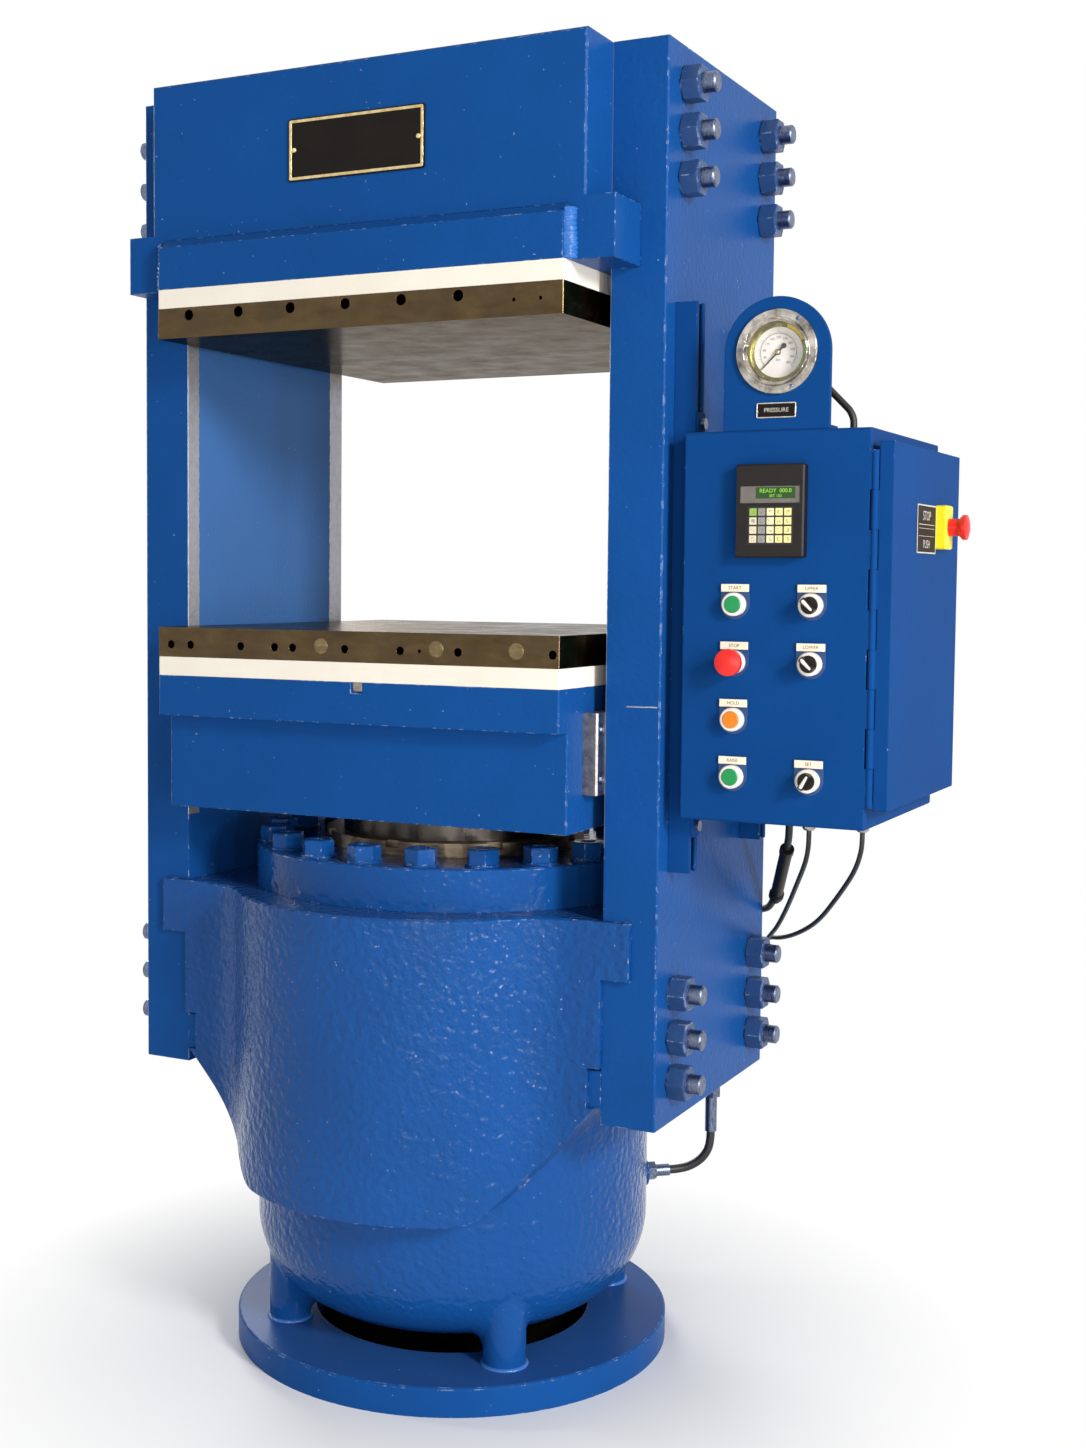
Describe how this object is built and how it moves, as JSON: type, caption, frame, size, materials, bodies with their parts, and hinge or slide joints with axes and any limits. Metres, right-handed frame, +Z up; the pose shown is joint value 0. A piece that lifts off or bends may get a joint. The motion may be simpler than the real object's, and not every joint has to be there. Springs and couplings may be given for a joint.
{
  "type": "hydraulic press",
  "caption": "Up-stroke hydraulic moulding press: cast ram cylinder, side plates, heated platens and a control cabinet with a pressure gauge on its right side.",
  "frame": {"origin": "on the ram's axis, at the floor under the base ring", "axes": "+Z up along the ram, +X to the control cabinet, -Y to the operator"},
  "size_m": [1.464, 0.864, 2.214],
  "materials": {
    "blue_paint": "deep gloss machine enamel",
    "nut_paint": "worn gloss enamel",
    "bright_steel": "turned and ground steel",
    "platen_steel": "ground steel, browned by heat",
    "insulation": "pressed fibre board",
    "bronze": "turned bronze",
    "black_plastic": "moulded plastic",
    "rubber": "black rubber",
    "chrome": "polished",
    "clear_glass": "clear",
    "dial_white": "printed dial",
    "display_green": "lit display window",
    "key_pad": "membrane pads",
    "nameplate_black": "plain enamelled plate",
    "green_cap": "moulded cap",
    "red_cap": "moulded cap",
    "orange_cap": "moulded cap",
    "yellow_plastic": "moulded box",
    "zinc_sheet": "zinc-plated sheet",
    "device_grey": "moulded device housings"
  },
  "bodies": {
    "press_frame": {"base_ring": "blue_paint", "cylinder": "blue_paint", "frame_keys": "blue_paint", "gland_ring": "blue_paint", "gland_bolts": "blue_paint", "gland_bush": "bronze", "ram_packing": "rubber", "left_side_plate": "blue_paint", "right_side_plate": "blue_paint", "crown": "blue_paint", "crown_front_bar": "blue_paint", "tie_studs": "bright_steel", "tie_nuts": "nut_paint", "upper_insulation": "insulation", "upper_platen": "platen_steel", "nameplate": "nameplate_black", "cabinet_rails": "blue_paint", "cabinet_body": "blue_paint", "cabinet_fasteners": "bright_steel", "mounting_panel": "zinc_sheet", "panel_devices": "device_grey", "terminal_strip": "device_grey", "gauge_bracket": "blue_paint", "gauge_case": "black_plastic", "gauge_bezel": "chrome", "gauge_dial": "dial_white", "gauge_lens": "clear_glass", "gauge_hose": "rubber", "terminal_housing": "black_plastic", "terminal_display": "display_green", "terminal_keys": "key_pad", "operator_bodies": "chrome", "legend_plates": "zinc_sheet", "cable_glands": "chrome", "supply_cable": "rubber", "valve_cable": "rubber", "switch_cable": "rubber", "cable_sleeve": "black_plastic", "rear_junction_box": "device_grey", "oil_block": "blue_paint", "oil_fittings": "bright_steel", "oil_hose": "rubber", "hinge_pin": "bright_steel"},
    "moving_table": {"ram": "bright_steel", "moving_bolster": "blue_paint", "lower_insulation": "insulation", "lower_platen": "platen_steel", "guide_gibs": "bright_steel"},
    "door": {"cabinet_door": "blue_paint", "door_gasket": "rubber", "door_stop_box": "yellow_plastic"},
    "door_stop": {"door_stop_mushroom": "red_cap"},
    "start_button": {"start_button": "green_cap"},
    "stop_mushroom": {"stop_mushroom": "red_cap"},
    "hold_button": {"hold_button": "orange_cap"},
    "raise_button": {"raise_button": "green_cap"},
    "upper_selector": {"upper_selector": "black_plastic"},
    "lower_selector": {"lower_selector": "black_plastic"},
    "setting_knob": {"setting_knob": "black_plastic"},
    "gauge_needle": {"gauge_needle": "black_plastic"}
  },
  "joints": [
    {"name": "ram_slide", "type": "slide", "parent": "press_frame", "child": "moving_table", "axis": [0, 0, 1], "range_m": [0, 0.4905]},
    {"name": "door_hinge", "type": "hinge", "parent": "press_frame", "child": "door", "pos_m": [0.833, -0.256, 1.307], "axis": [0, 0, -1], "range_deg": [0, 120]},
    {"name": "door_stop_press", "type": "slide", "parent": "door", "child": "door_stop", "axis": [-1, 0, 0], "range_m": [0, 0.005], "stiffness_N_per_m": 1500},
    {"name": "start_press", "type": "slide", "parent": "press_frame", "child": "start_button", "axis": [0, 1, 0], "range_m": [0, 0.0045], "stiffness_N_per_m": 1500},
    {"name": "stop_press", "type": "slide", "parent": "press_frame", "child": "stop_mushroom", "axis": [0, 1, 0], "range_m": [0, 0.0045], "stiffness_N_per_m": 1500},
    {"name": "hold_press", "type": "slide", "parent": "press_frame", "child": "hold_button", "axis": [0, 1, 0], "range_m": [0, 0.0045], "stiffness_N_per_m": 1500},
    {"name": "raise_press", "type": "slide", "parent": "press_frame", "child": "raise_button", "axis": [0, 1, 0], "range_m": [0, 0.0045], "stiffness_N_per_m": 1500},
    {"name": "upper_selector_turn", "type": "hinge", "parent": "press_frame", "child": "upper_selector", "pos_m": [0.742, -0.27, 1.342], "axis": [0, 1, 0], "range_deg": [0, 90]},
    {"name": "lower_selector_turn", "type": "hinge", "parent": "press_frame", "child": "lower_selector", "pos_m": [0.742, -0.27, 1.2537], "axis": [0, 1, 0], "range_deg": [0, 90]},
    {"name": "setting_turn", "type": "hinge", "parent": "press_frame", "child": "setting_knob", "pos_m": [0.742, -0.27, 1.0771], "axis": [0, 1, 0], "range_deg": [0, 270]},
    {"name": "needle_turn", "type": "hinge", "parent": "press_frame", "child": "gauge_needle", "pos_m": [0.679, -0.25, 1.723], "axis": [0, 1, 0], "range_deg": [0, 270], "stiffness_Nm_per_rad": 0.01}
  ]
}
